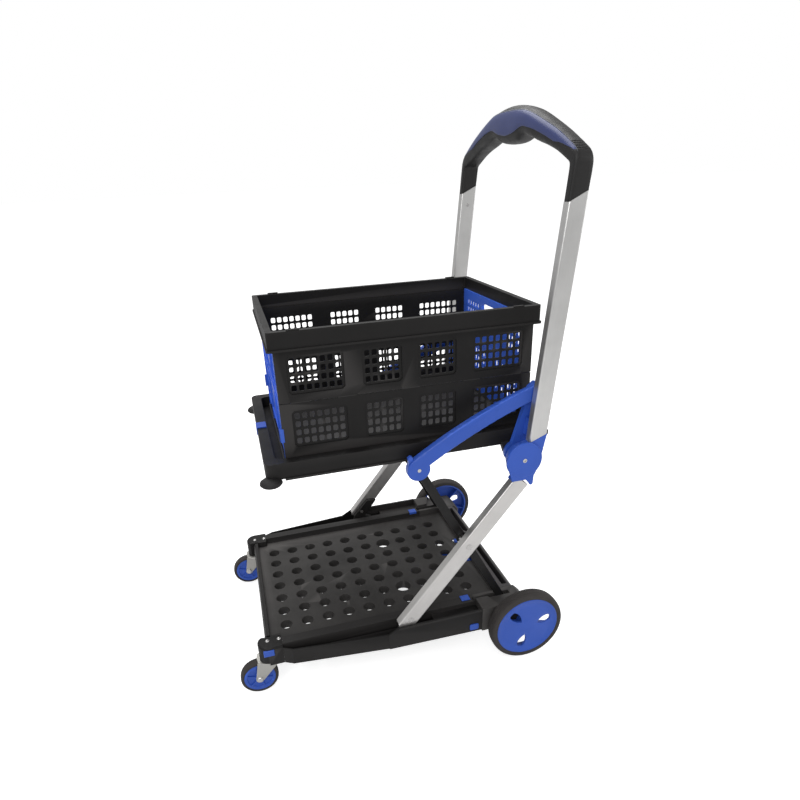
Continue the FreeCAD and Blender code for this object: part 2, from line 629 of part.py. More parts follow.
def handle_bracket():
    """Blue bracket: inner cheek from the pivot up to the arm, and a fin under the tube."""
    ax, az = PIVOT_TRAY
    y0, y1 = flip(LAYER_STRUT)
    fx, fz = PIVOT_ARM
    half = TUBE_WIDTH / 2
    cheek = prism_y([(ax - 11, az + 12), (ax + 12, az + 88), (fx - 15, fz + 4), (fx - 3, fz + 13),
                     (fx + 14, fz + 8), handle_xz(half - 2, -205), handle_xz(half - 2, -246),
                     (ax + 20, az + 6)], y0, y1)
    cheek = fuse([cheek, cyl_y(PIVOT_TRAY, 22, y0, y1)])
    rib = prism_y([(ax + 8, az + 16), (ax + 26, az + 88), (ax + 33, az + 86), (ax + 18, az + 14)],
                  y0 - 0.6, y0 + 0.5)
    flange = prism_y([handle_xz(-half + 3, -228), handle_xz(half - 3, -228), handle_xz(half - 3, -262),
                      handle_xz(-half + 3, -262)], -LAYER_TUBE[0] + 0.05, -LAYER_STRUT[1] + 0.1)
    fx0, fz0 = handle_xz(-half, TUBE_FOOT_S[0] - 0.3)
    fx1, fz1 = handle_xz(half, TUBE_FOOT_S[1] - 0.3)
    y2, y3 = flip(LAYER_TUBE)
    fin = prism_y([(fx0, fz0), (fx1, fz1), (ax + 38, az + 8), (ax + 22, az - 14), (ax - 22, az - 8),
                   (ax - 20, az + 20)], y2, y3)
    hub = cyl_y(PIVOT_TRAY, 29.5, y2, y3)
    fin = fuse([fin, hub]).common(fuse([cyl_y(PIVOT_TRAY, 29.5, y2, y3),
                                        box(ax - 29, ax + 60, y2, y3, az + 2, az + 60)]))
    neck = cyl_y(PIVOT_TRAY, 16, y3 - 0.5, -LAYER_STRUT[1] + 0.5)
    hole = cyl_y(PIVOT_TRAY, PIN_R + RUNNING, -241, -194)
    return cut(fuse([cheek, rib, flange, fin, neck]), [hole])


def tube_tips():
    """Small black stops at the rear corner of each tube's foot."""
    half = TUBE_WIDTH / 2
    tip = prism_y([handle_xz(half + 0.1, TUBE_FOOT_S[1] - 4), handle_xz(half + 2.6, TUBE_FOOT_S[1] - 3),
                   handle_xz(half + 2.6, TUBE_FOOT_S[1] + 6), handle_xz(half + 0.1, TUBE_FOOT_S[1] + 8)],
                  -LAYER_TUBE[1] + 2, -LAYER_TUBE[0] - 2)
    return both_sides([tip])


def tube_rivets():
    s = TUBE_HEAD_S[0] - 22
    x, z = handle_xz(0, s)
    inner = cyl_y((x, z), 3.2, -LAYER_TUBE[0] + 0.05, -LAYER_TUBE[0] + 1.2)
    return both_sides([inner])


# Grip: half of the U from the tube head to the middle of the bar. Each station gives the outer
# point (y, s) of the section, its inner point, the depth fore and aft and how far it sits forward.
# The bar swells downwards over its middle.
GRIP_STATIONS = (
    (240.0, 167.0, 221.5, 167.0, 35.4, 0.0),
    (240.2, 186.0, 221.4, 186.0, 35.8, 0.0),
    (240.3, 208.0, 221.0, 206.0, 36.2, 0.0),
    (239.4, 223.0, 217.5, 214.0, 36.5, 0.3),
    (232.0, 236.0, 206.0, 219.0, 37.5, 0.8),
    (215.0, 246.5, 188.5, 226.0, 39.0, 1.6),
    (190.0, 259.5, 165.0, 234.5, 41.0, 3.0),
    (160.0, 273.0, 140.0, 242.0, 43.5, 4.6),
    (128.0, 286.0, 111.0, 249.0, 46.0, 6.0),
    (94.0, 298.7, 82.0, 257.0, 48.0, 7.0),
    (67.0, 306.8, 60.0, 261.0, 49.5, 7.6),
    (34.0, 313.2, 32.0, 252.0, 50.0, 8.0),
    (0.0, 315.5, 0.0, 250.0, 50.0, 8.0),
)
INSERT_FIRST = 5
INSERT_PROUD = 1.03
GRIP_POINTS = 20
GRIP_STEPS = 3


def grip_point(station, side, unit_n, unit_w, slope=0.0):
    """Point of a grip section: unit_n runs fore and aft, unit_w from inside to outside."""
    y_out, s_out, y_in, s_in, depth, forward = station
    n = depth / 2 * unit_n
    y = (y_out + y_in) / 2 + (y_out - y_in) / 2 * unit_w
    s = (s_out + s_in) / 2 + (s_out - s_in) / 2 * unit_w
    return handle_point(n - forward, side * y, s + slope * n)


def rounded_unit(t, power):
    """Point of a unit superellipse at angle t."""
    c, d = math.cos(t), math.sin(t)
    return math.copysign(abs(c) ** (2 / power), c), math.copysign(abs(d) ** (2 / power), d)


def grip_section(station, side, power, slope):
    points = []
    for i in range(GRIP_POINTS):
        unit_n, unit_w = rounded_unit(2 * math.pi * i / GRIP_POINTS, power)
        points.append(grip_point(station, side, unit_n, unit_w, slope))
    return polygon(points)


def smoothed(stations, steps):
    """Stations filled in between on a smooth curve that stays level across the middle plane."""
    beyond = [-stations[-2][0], stations[-2][1], -stations[-2][2]] + list(stations[-2][3:])
    before = [2 * a - b for a, b in zip(stations[0], stations[1])]
    path = [before] + [list(station) for station in stations] + [beyond]
    filled = []
    for i in range(1, len(path) - 2):
        for step in range(steps):
            t = step / steps
            filled.append([0.5 * (2 * b + (c - a) * t + (2 * a - 5 * b + 4 * c - d) * t ** 2
                                  + (3 * b - a - 3 * c + d) * t ** 3)
                           for a, b, c, d in zip(path[i - 1], path[i], path[i + 1], path[i + 2])])
    return filled + [path[-2]]


def both_ways(half):
    """Stations of the left half followed by the mirrored right half, each with its side."""
    return [(station, -1) for station in half] + [(station, 1) for station in half[-2::-1]]


def grip():
    """U-shaped grip, lofted from one tube head to the other."""
    head_slope = (TUBE_HEAD_S[1] - TUBE_HEAD_S[0]) / TUBE_WIDTH
    half = []
    for i, station in enumerate(smoothed(GRIP_STATIONS, GRIP_STEPS)):
        along_grip = i / GRIP_STEPS
        power = max(2.6, 6.0 - 0.6 * along_grip)
        slope = head_slope * max(0.0, 1 - 0.5 * along_grip)
        half.append((station, power, slope))
    sections = []
    for (station, power, slope), side in both_ways(half):
        sections.append(grip_section(station, side, power, slope))
    return Part.makeLoft(sections, True, True)


def grip_insert():
    """Smooth blue face let into the front of the bar."""
    half = smoothed(GRIP_STATIONS, GRIP_STEPS)[INSERT_FIRST * GRIP_STEPS:]
    wires = [insert_section(station, side) for station, side in both_ways(half)]
    return Part.makeLoft(wires, True, True)


def insert_section(station, side):
    """Crescent along the grip's front face, wider at the middle of the bar."""
    outward = (station[0] + station[2]) / 2 / 200
    top, bottom = 144 - 18 * outward, 210 - 26 * outward
    outer, inner = [], []
    for i in range(7):
        unit_n, unit_w = rounded_unit(math.radians(top + (bottom - top) * i / 6), 2.6)
        outer.append(grip_point(station, side, unit_n * INSERT_PROUD, unit_w * INSERT_PROUD))
        inner.append(grip_point(station, side, unit_n * 0.8, unit_w * 0.8))
    return polygon(outer + inner[::-1])


# ---- tray ----------------------------------------------------------------------------------
def tray_body():
    """Frame of the tray: a flat ledge round the pocket on a double wall."""
    x0, x1 = TRAY_X
    h = TRAY_HALF
    p0, p1 = POCKET_X
    ph = POCKET_HALF
    pocket = rounded_rect(p0, p1, -ph, ph, 12)
    outline = rounded_rect(x0, x1, -h, h, 14)
    ledge = prism_z(outline, TRAY_TOP - 4, TRAY_TOP, [pocket])
    skirt = prism_z(outline, TRAY_BOTTOM, TRAY_TOP, [rounded_rect(x0 + 4, x1 - 4, -h + 4, h - 4, 10)])
    around = rounded_rect(p0 - 4, p1 + 4, -ph - 4, ph + 4, 16)
    inner_wall = prism_z(around, TRAY_BOTTOM, TRAY_TOP - 2, [pocket])
    flange = box(x0 + 34, 60, -h - 2.6, -h + 1, TRAY_BOTTOM - 2.4, TRAY_BOTTOM + 2)
    ax, az = PIVOT_TRAY
    lug = prism_y([(ax - 26, TRAY_BOTTOM + 6), (ax + 26, TRAY_BOTTOM + 6), (ax + 17, az - 6),
                   (ax - 17, az - 6)], -h - 2.0, -h + 11)
    lug = fuse([lug, cyl_y(PIVOT_TRAY, 17, -h - 2.0, -h + 11)])
    pin_hole = cyl_y(PIVOT_TRAY, PIN_R, -h - 3, -h + 12)
    lug = cut(lug, [pin_hole])
    return fuse([ledge, skirt, inner_wall, flange, mirror(flange), lug, mirror(lug)])


def tray_floor():
    """Solid floor of the tray's pocket, ribbed underneath."""
    p0, p1 = POCKET_X
    ph = POCKET_HALF
    plate = prism_z(rounded_rect(p0, p1, -ph, ph, 12), TRAY_FLOOR_TOP - 3, TRAY_FLOOR_TOP)
    low, high = TRAY_BOTTOM + 0.5, TRAY_FLOOR_TOP - 2.5
    ribs = []
    for j in range(6):
        y = 54 * (j - 2.5)
        ribs.append(box(p0 + 4, p1 - 4, y - 1.2, y + 1.2, low, high))
    for i in range(10):
        x = p0 + 21 + 52 * i
        ribs.append(box(x - 1.2, x + 1.2, -ph + 4, ph - 4, low, high))
    return fuse([plate] + ribs)


def tray_pins():
    """Shoulder screws that the legs, the tray and the handle all turn on."""
    pin = cyl_y(PIVOT_TRAY, PIN_R, -LAYER_DISC[1] + 1.4, -TRAY_HALF + 11)
    tip = cyl_y(PIVOT_TRAY, SCREW_TIP_R, -LAYER_DISC[1] - 0.5, -LAYER_DISC[1] + 2)
    hexagon = arc_points(*PIVOT_TRAY, 2.6, 0, 300, 5)
    recess = prism_y(hexagon, -LAYER_DISC[1] - 1, -LAYER_DISC[1] + 0.8)
    return both_sides([cut(fuse([pin, tip]), [recess])])


def tray_clip():
    """Blue clip folded over the middle of the front ledge."""
    x0 = TRAY_X[0]
    plate = box(x0 - 1.7, x0 + 19, -14, 14, TRAY_TOP + 0.05, TRAY_TOP + 2.6)
    face = box(x0 - 1.7, x0 - 0.05, -14, 14, TRAY_TOP - 15, TRAY_TOP + 2.6)
    return fuse([plate, face])


def tray_feet():
    """Round bumpers under the front corners and small feet under the rear ones."""
    x, y = FOOT_CENTRE
    profile = [(0, 474.0), (12, 474.3), (18, 476.0), (21, 479.4), (20, 482.8), (15.5, 486.2), (8, 488.8),
               (0, 489.6)]
    dome = Part.Face(polygon([V(x + r, y, z) for r, z in profile])).revolve(V(x, y, 0), V(0, 0, 1), 360)
    x0, x1 = TRAY_X
    h = TRAY_HALF
    room = prism_z(rounded_rect(x0 - 0.1, x1, -h - 0.1, h + 0.1, 14), TRAY_BOTTOM - 0.05, TRAY_TOP)
    flange_room = box(x0 + 33.8, 0, -h - 3, -h + 1, TRAY_BOTTOM - 2.6, TRAY_BOTTOM + 2.5)
    dome = cut(dome, [room, flange_room])
    rear = Part.makeCone(11, 9, 6, V(292, -150, 474), V(0, 0, 1))
    rear = fuse([rear, cyl_z(292, -150, 7, 479.5, TRAY_BOTTOM - 0.05)])
    rear = rear.common(box(270, 299.5, -170, -130, 470, 490))
    return both_sides([dome, rear])


# ---- crate ---------------------------------------------------------------------------------
CRATE_MID = sum(CRATE_X) / 2
WALL_END_X = 242.5                 # half length of the long walls
PANEL_T = 2.6


def ring_z(outer_inset, inner_inset, z0, z1, corner):
    x0, x1 = CRATE_X
    h = CRATE_HALF
    o, i = outer_inset, inner_inset
    return prism_z(rounded_rect(x0 + o, x1 - o, -h + o, h - o, corner), z0, z1,
                   [rounded_rect(x0 + i, x1 - i, -h + i, h - i, max(corner - i + o, 1.0))])


def crate_rim():
    band_bottom = CRATE_TOP - CRATE_BAND
    top = ring_z(2.4, CRATE_RIM_WIDTH, CRATE_TOP - 3, CRATE_TOP, 5)
    skirt = ring_z(2.4, 5.2, band_bottom, CRATE_TOP, 5)
    lip = ring_z(0, 5.2, band_bottom, band_bottom + 4, 6)
    inner = ring_z(CRATE_RIM_WIDTH - 2.6, CRATE_RIM_WIDTH, band_bottom + 8, CRATE_TOP, 3)
    floor = ring_z(4.4, CRATE_RIM_WIDTH, band_bottom + 8, band_bottom + 10.5, 4)
    nubs = []
    for x in (CRATE_X[0] + 48, CRATE_X[1] - 48):
        nub = prism_z([(x - 11, -CRATE_HALF + 3), (x + 11, -CRATE_HALF + 3), (x + 9, -CRATE_HALF + 8),
                       (x - 9, -CRATE_HALF + 8)], CRATE_TOP - 0.5, CRATE_TOP + 2.4)
        nubs += [nub, mirror(nub)]
    ears = []
    hinge_x = CRATE_X[0] + CRATE_RIM_WIDTH + 0.8 + END_WALL_T / 2
    ear = box(hinge_x - 3.5, hinge_x + 3.5, -163.0, -161.1, END_HINGE_Z - 4, END_HINGE_Z + 4)
    bridge = box(hinge_x - 3.5, hinge_x + 3.5, -168.0, -161.1, END_HINGE_Z + 0.3, END_HINGE_Z + 4)
    ear = cut(fuse([ear, bridge]), [cyl_y((hinge_x, END_HINGE_Z), 1.4 + RUNNING, -163.1, -161)])
    for one in (ear, mirror(ear)):
        ears += [one, mirror_x(one)]
    return fuse([top, skirt, lip, inner, floor] + nubs + ears)


def grid_windows():
    """First hole column of each window, as offsets from the crate's middle."""
    outer = 212.7
    inner = 79.3
    pitch = GRID_PITCH[0]
    return (-outer, -inner, inner - pitch * (GRID_COLUMNS[2] - 1), outer - pitch * (GRID_COLUMNS[3] - 1))


def grid_hole(cx, cz, half_w, half_h):
    return clipped_rect(cx - half_w, cx + half_w, cz - half_h, cz + half_h, 1.8)


def side_panel(z0, z1, first_row):
    """Half-height wall panel: a thin perforated sheet with pillars and edge rails proud of it."""
    x0, x1 = CRATE_MID - WALL_END_X, CRATE_MID + WALL_END_X
    y = -CRATE_WALL_Y
    hole_w, hole_h = GRID_HOLE
    holes, windows = [], []
    for start, columns in zip(grid_windows(), GRID_COLUMNS):
        first = CRATE_MID + start
        last = first + GRID_PITCH[0] * (columns - 1)
        bottom = first_row - hole_h / 2 - 5
        top = first_row + GRID_PITCH[1] * (GRID_ROWS - 1) + hole_h / 2 + 5
        windows.append(clipped_rect(first - hole_w / 2 - 5, last + hole_w / 2 + 5, bottom, top, 5))
        for i in range(columns):
            for j in range(GRID_ROWS):
                cx, cz = first + GRID_PITCH[0] * i, first_row + GRID_PITCH[1] * j
                holes.append(grid_hole(cx, cz, hole_w / 2, hole_h / 2))
    outline = [(x0, z0), (x1, z0), (x1, z1), (x0, z1)]
    sheet = prism_y(outline, y + 2.0, y + 2.0 + PANEL_T - 0.6, holes)
    face = prism_y(outline, y, y + 2.05, windows)
    pockets = [seam_barrel(centre, 2.7, 34.6) for centre in SEAM_HINGES]
    return cut(fuse([sheet, face]), pockets)


def crate_upper_panel():
    panel = side_panel(CRATE_SEAM + 0.7, CRATE_TOP - CRATE_BAND + 7.5, 692 - 3 * GRID_PITCH[1])
    return panel


def crate_lower_panel():
    panel = side_panel(CRATE_BOTTOM + 9, CRATE_SEAM - 0.7, 543)
    return panel


def seam_barrel(centre, r, length):
    x = CRATE_MID + centre - length / 2
    return Part.makeCylinder(r, length, V(x, -CRATE_WALL_Y + 2.6, CRATE_SEAM), V(1, 0, 0))


def seam_hinge():
    """Hinge barrels along the seam between the two half-height panels."""
    return both_sides([seam_barrel(centre, 2.6, 34) for centre in SEAM_HINGES])


def wall_catches():
    """Blue catches on the long walls' ends that hold the end walls shut."""
    x = CRATE_MID - WALL_END_X
    y = -CRATE_WALL_Y
    front = box(x - 4.2, x - 0.05, y - 1.4, -161.0, 545, 571)
    side = box(x - 4.2, x + 2.6, y - 1.4, y - 0.05, 545, 571)
    catch = fuse([front, side])
    return both_sides([catch, mirror_x(catch)])


def crate_floor():
    x0, x1 = CRATE_X[0] + 9, CRATE_X[1] - 9
    h = 170.0
    plate = prism_z(rounded_rect(x0, x1, -h, h, 6), CRATE_BOTTOM, CRATE_BOTTOM + 2.6)
    kerb = prism_z(rounded_rect(x0, x1, -h, h, 6), CRATE_BOTTOM, CRATE_BOTTOM + 8.6,
                   [rounded_rect(x0 + 2.6, x1 - 2.6, -h + 2.6, h - 2.6, 4)])
    inner = prism_z(rounded_rect(x0 + 7, x1 - 7, -h + 7.5, h - 7.5, 4), CRATE_BOTTOM, CRATE_BOTTOM + 8.6,
                    [rounded_rect(x0 + 9, x1 - 9, -h + 9.5, h - 9.5, 3)])
    return fuse([plate, kerb, inner])


def end_wall():
    """Blue front end wall, hung from the rim; it swings up inside the crate."""
    x = CRATE_X[0] + CRATE_RIM_WIDTH + 0.8
    half = 160.5
    z0, z1 = CRATE_BOTTOM + 9.4, END_HINGE_Z + 1.4
    hand = [(-44, 672), (44, 672), (54, 680), (58, 702), (52, 709), (-52, 709), (-58, 702), (-54, 680)]
    holes = [hand]
    for side in (-1, 1):
        for i in range(5):
            for j in range(4):
                cy = side * (80 + 13.5 * i)
                cz = 650 + 16 * j
                holes.append(clipped_rect(cy - 4.6, cy + 4.6, cz - 5.4, cz + 5.4, 1.6))
    for side in (-1, 1):
        for i in range(8):
            for j in range(4):
                cy = side * (27 + 14.2 * i)
                cz = 545 + 17 * j
                holes.append(clipped_rect(cy - 4.8, cy + 4.8, cz - 5.8, cz + 5.8, 1.6))
    outline = [(-half, z0), (half, z0), (half, z1), (-half, z1)]
    sheet = prism_x(outline, x, x + END_WALL_T, holes)
    ribs = []
    for z in (528, 616, 636, 715):
        ribs.append(box(x - 3.4, x + 0.5, -half, half, z - 1.4, z + 1.4))
    for y in (-158.8, -66, 66, 158.8):
        ribs.append(box(x - 3.4, x + 0.5, y - 1.4, y + 1.4, z0, END_HINGE_Z - 3))
    collar = prism_x([(-49, 668), (49, 668), (60, 677), (63, 705), (56, 713), (-56, 713), (-63, 705),
                      (-60, 677)], x - 3.0, x + 0.5, [hand])
    hinge = (x + END_WALL_T / 2, END_HINGE_Z)
    trunnions = [cyl_y(hinge, 1.4, -half - 2.2, -half + 1), cyl_y(hinge, 1.4, half - 1, half + 2.2)]
    return fuse([sheet, collar] + ribs + trunnions)


def mirror_x(shape):
    return shape.mirror(V(CRATE_MID, 0, 0), V(1, 0, 0))


# ---- build ---------------------------------------------------------------------------------
save("deck_panel", deck_panel())
save("front_beam", front_beam())
save("rear_beam", rear_beam())
save_pair("side_rail", side_rail())
save_pair("corner_cap", corner_cap())
save_pair("wheel_housing", wheel_housing())
save("base_pins", base_pins())
save("rear_axle", rear_axle())
save("cap_rivets", cap_rivets())
save("base_clips", base_clips())
save("deck_latch", deck_latch())

left_wheel = flip(LAYER_REAR_WHEEL)
save_pair("rear_tyre", tyre((REAR_WHEEL[0], REAR_WHEEL[1]), REAR_WHEEL[1], 69.6, *left_wheel, 7.0))
save_pair("rear_hub", rear_hub())
save_pair("caster_fork", caster_fork())
caster_y = -CASTER_STEM[1]
save_pair("caster_tyre", tyre((CASTER_WHEEL_X, CASTER_R), CASTER_R, CASTER_BEAD, caster_y - CASTER_WIDTH / 2,
                              caster_y + CASTER_WIDTH / 2, 4.5))
save_pair("caster_hub", caster_hub())

save_pair("strut", strut())
save("cross_rod", cross_rod())
save_pair("leg", leg())
save("leg_rivets", leg_rivets())
save_pair("leg_shoe", leg_shoe())
save_pair("leg_socket", leg_socket())
save_pair("arm", arm())
save("arm_rivets", arm_rivets())

save_pair("handle_tube", handle_tube())
save_pair("handle_bracket", handle_bracket())
save("tube_tips", tube_tips())
save("tube_rivets", tube_rivets())
save("grip", grip())
save("grip_insert", grip_insert())

save("tray_body", tray_body())
save("tray_floor", tray_floor())
save("tray_pins", tray_pins())
save("tray_clip", tray_clip())
save("tray_feet", tray_feet())

save("crate_rim", crate_rim())
save_pair("crate_upper_panel", crate_upper_panel())
save_pair("crate_lower_panel", crate_lower_panel())
save("seam_hinges", seam_hinge())
save("wall_catches", wall_catches())
save("crate_floor", crate_floor())
front_wall = end_wall()
save("end_wall_front", front_wall)
save("end_wall_rear", mirror_x(front_wall))
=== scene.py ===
"""Looks of the folding platform cart: materials, rounded edges, detail pieces, light and camera."""

import math

import bmesh
import bpy
from mathutils import Matrix, Vector


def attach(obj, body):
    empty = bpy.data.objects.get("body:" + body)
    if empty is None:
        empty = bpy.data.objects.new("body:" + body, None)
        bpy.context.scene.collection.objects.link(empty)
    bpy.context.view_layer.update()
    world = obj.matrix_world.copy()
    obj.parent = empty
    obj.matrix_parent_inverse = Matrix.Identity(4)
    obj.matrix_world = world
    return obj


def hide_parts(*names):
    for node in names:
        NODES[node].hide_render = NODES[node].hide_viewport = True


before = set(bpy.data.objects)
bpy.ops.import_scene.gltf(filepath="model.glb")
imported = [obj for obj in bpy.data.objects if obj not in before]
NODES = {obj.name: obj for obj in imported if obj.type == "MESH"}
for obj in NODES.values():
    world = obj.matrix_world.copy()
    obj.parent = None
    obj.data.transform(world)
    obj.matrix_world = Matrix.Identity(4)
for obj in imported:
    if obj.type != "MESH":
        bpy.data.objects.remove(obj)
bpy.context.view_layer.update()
SCENE = bpy.context.scene
MM = 0.001

# Places and sizes that the detail pieces share with the CAD bodies, in millimetres
REAR_WHEEL = (255.1, 82.0)          # x and z of the axle; z is also the radius
REAR_WHEEL_SPAN = (247.5, 275.5)    # inner and outer face, from the middle plane
CASTER_WHEEL = (-312.5, 39.0)
CASTER_SPAN = (181.1, 200.1)
CASTER_MIDDLE = 190.6
NUT_SEAT = 14.15                    # from the caster's middle to the seat of its axle nut
NUT_HEIGHT = 2.6
NUT_RADIUS = 6.4
HANDLE_LEAN = math.radians(5.67)
HANDLE_REF = (293.5, 768.0)         # a point on the tubes' centre line
HEAD_SLOPE = 21.0 / 34.4            # slanted cut where the tubes enter the grip
GRIP_RING = 56                      # points round a section of the grip
GRIP_INSET = 0.35                   # keeps the fine skin within the grip's coarser CAD surface


# ---- camera --------------------------------------------------------------------------------
CAMERA_PLACE = (-0.2605, -1.1549, 0.9857)
CAMERA_TURN = (14.35, -24.84, -2.52)        # yaw, pitch and roll in degrees


def make_camera():
    yaw, pitch, roll = (math.radians(angle) for angle in CAMERA_TURN)
    forward = Vector((math.cos(pitch) * math.sin(yaw), math.cos(pitch) * math.cos(yaw), math.sin(pitch)))
    right0 = Vector((math.cos(yaw), -math.sin(yaw), 0.0))
    up0 = right0.cross(forward)
    right = math.cos(roll) * right0 + math.sin(roll) * up0
    up = -math.sin(roll) * right0 + math.cos(roll) * up0
    data = bpy.data.cameras.new("view")
    data.sensor_width = 36.0
    data.lens = 26.6
    data.shift_x = 0.0145
    data.shift_y = 0.053
    data.clip_end = 200.0
    camera = bpy.data.objects.new("view", data)
    rows = [[right[i], up[i], -forward[i]] for i in range(3)]
    camera.matrix_world = Matrix.Translation(CAMERA_PLACE) @ Matrix(rows).to_4x4()
    SCENE.collection.objects.link(camera)
    SCENE.camera = camera


# ---- materials -----------------------------------------------------------------------------
def new_material(name):
    material = bpy.data.materials.new(name)
    material.use_nodes = True
    tree = material.node_tree
    return material, tree, tree.nodes["Principled BSDF"]


def texture_space(tree, stretch=(1, 1, 1), turn=0.0):
    """Object coordinates, turned about Y and stretched."""
    coords = tree.nodes.new("ShaderNodeTexCoord")
    mapping = tree.nodes.new("ShaderNodeMapping")
    mapping.inputs["Rotation"].default_value = (0.0, turn, 0.0)
    tree.links.new(coords.outputs["Object"], mapping.inputs["Vector"])
    scaled = tree.nodes.new("ShaderNodeMapping")
    scaled.inputs["Scale"].default_value = stretch
    tree.links.new(mapping.outputs["Vector"], scaled.inputs["Vector"])
    return scaled.outputs["Vector"]


def noise(tree, vector, scale, detail=3.0, rough=0.55):
    node = tree.nodes.new("ShaderNodeTexNoise")
    node.inputs["Scale"].default_value = scale
    node.inputs["Detail"].default_value = detail
    node.inputs["Roughness"].default_value = rough
    tree.links.new(vector, node.inputs["Vector"])
    return node.outputs["Fac"]


def ramp(tree, source, stops):
    node = tree.nodes.new("ShaderNodeValToRGB")
    elements = node.color_ramp.elements
    while len(elements) < len(stops):
        elements.new(0.5)
    for element, (position, colour) in zip(elements, stops):
        element.position = position
        element.color = (*colour, 1.0)
    tree.links.new(source, node.inputs["Fac"])
    return node.outputs["Color"]


def spread(tree, source, low, high):
    """Noise stretched over the range from low to high."""
    node = tree.nodes.new("ShaderNodeMapRange")
    node.inputs["From Min"].default_value = 0.3
    node.inputs["From Max"].default_value = 0.7
    node.inputs["To Min"].default_value = low
    node.inputs["To Max"].default_value = high
    tree.links.new(source, node.inputs["Value"])
    return node.outputs["Result"]


def blend_colours(tree, factor, first, second):
    """Mix of two colours, each a fixed one or a socket, by a factor socket."""
    node = tree.nodes.new("ShaderNodeMix")
    node.data_type = "RGBA"
    tree.links.new(factor, node.inputs["Factor"])
    for socket, value in (("A", first), ("B", second)):
        target = [i for i in node.inputs if i.name == socket and i.type == "RGBA"][0]
        if isinstance(value, tuple):
            target.default_value = (*value, 1.0)
        else:
            tree.links.new(value, target)
    return [o for o in node.outputs if o.type == "RGBA"][0]


def bump(tree, height, strength, distance, below=None):
    node = tree.nodes.new("ShaderNodeBump")
    node.inputs["Strength"].default_value = strength
    node.inputs["Distance"].default_value = distance
    tree.links.new(height, node.inputs["Height"])
    if below is not None:
        tree.links.new(below, node.inputs["Normal"])
    return node.outputs["Normal"]


EDGE_RANGE = (0.53, 0.62)           # pointiness where the painted edge highlight begins and where it is full


def painted_edge_highlight_mask(tree):
    """1 on convex edges, 0 elsewhere."""
    geometry = tree.nodes.new("ShaderNodeNewGeometry")
    node = tree.nodes.new("ShaderNodeMapRange")
    node.inputs["From Min"].default_value = EDGE_RANGE[0]
    node.inputs["From Max"].default_value = EDGE_RANGE[1]
    tree.links.new(geometry.outputs["Pointiness"], node.inputs["Value"])
    return node.outputs["Result"]


def scaled_colour(colour, factor):
    return tuple(min(1.0, c * factor) for c in colour)


PLASTIC_GRAIN_SCALE = 1400.0


def plastic(name, colour, rough=(0.38, 0.5), grain=0.12, highlight_gain=1.6, specular=0.4, coat=0.0, mottle=0.82):
    """Moulded plastic: faint mottling, fine moulded grain, convex edges lightened as a painted highlight,
    scuffs.
    """
    material, tree, shader = new_material(name)
    space = texture_space(tree)
    cloud = noise(tree, space, 9.0, 4.0)
    darker, lighter = scaled_colour(colour, mottle), scaled_colour(colour, 2.0 - mottle)
    body = ramp(tree, cloud, [(0.3, darker), (0.7, lighter)])
    # Convex edges are lightened towards a brighter copy of the colour: a painted edge highlight.
    with_painted_highlight = blend_colours(tree, painted_edge_highlight_mask(tree), body, scaled_colour(colour, highlight_gain))
    tree.links.new(with_painted_highlight, shader.inputs["Base Color"])
    tree.links.new(spread(tree, noise(tree, space, 26.0, 5.0), *rough), shader.inputs["Roughness"])
    fine = bump(tree, noise(tree, space, PLASTIC_GRAIN_SCALE, 2.0), grain, 0.0004)
    scratch_space = texture_space(tree, (1.0, 40.0, 6.0), 0.5)
    scratched = bump(tree, noise(tree, scratch_space, 14.0, 6.0, 0.7), grain * 0.35, 0.0006, fine)
    tree.links.new(scratched, shader.inputs["Normal"])
    shader.inputs["Specular IOR Level"].default_value = specular
    if coat:
        shader.inputs["Coat Weight"].default_value = coat
        shader.inputs["Coat Roughness"].default_value = 0.22
    return material


def drawn_metal(name, colour, turn=0.0, rough=(0.3, 0.42), along="X", metallic=0.85):
    """Anodised or zinc-plated metal with fine lines along its length."""
    material, tree, shader = new_material(name)
    stretch = {"X": (1.5, 90.0, 90.0), "Y": (90.0, 1.5, 90.0), "Z": (90.0, 90.0, 1.5)}[along]
    lines = noise(tree, texture_space(tree, stretch, turn), 10.0, 5.0, 0.7)
    space = texture_space(tree)
    cloud = noise(tree, space, 16.0, 3.0)
    base = ramp(tree, cloud, [(0.32, scaled_colour(colour, 0.93)), (0.68, scaled_colour(colour, 1.05))])
    streak = spread(tree, lines, 0.0, 0.2)
    streaked = blend_colours(tree, streak, base, scaled_colour(colour, 0.72))
    tree.links.new(streaked, shader.inputs["Base Color"])
    tree.links.new(spread(tree, lines, *rough), shader.inputs["Roughness"])
    shader.inputs["Metallic"].default_value = metallic
    tree.links.new(bump(tree, lines, 0.06, 0.0003), shader.inputs["Normal"])
    return material


def rubber(name, colour, rough=(0.62, 0.8), grain=0.25, grain_scale=900.0):
    """Matt rubber with pale dust in patches and a fine grain."""
    material, tree, shader = new_material(name)
    space = texture_space(tree)
    dust = noise(tree, space, 12.0, 6.0, 0.65)
    tree.links.new(ramp(tree, dust, [(0.35, scaled_colour(colour, 0.85)), (0.62, colour),
                                     (0.78, scaled_colour(colour, 1.6))]), shader.inputs["Base Color"])
    tree.links.new(spread(tree, noise(tree, space, 40.0, 4.0), *rough), shader.inputs["Roughness"])
    tree.links.new(bump(tree, noise(tree, space, grain_scale, 3.0), grain, 0.0005), shader.inputs["Normal"])
    shader.inputs["Specular IOR Level"].default_value = 0.35
    return material


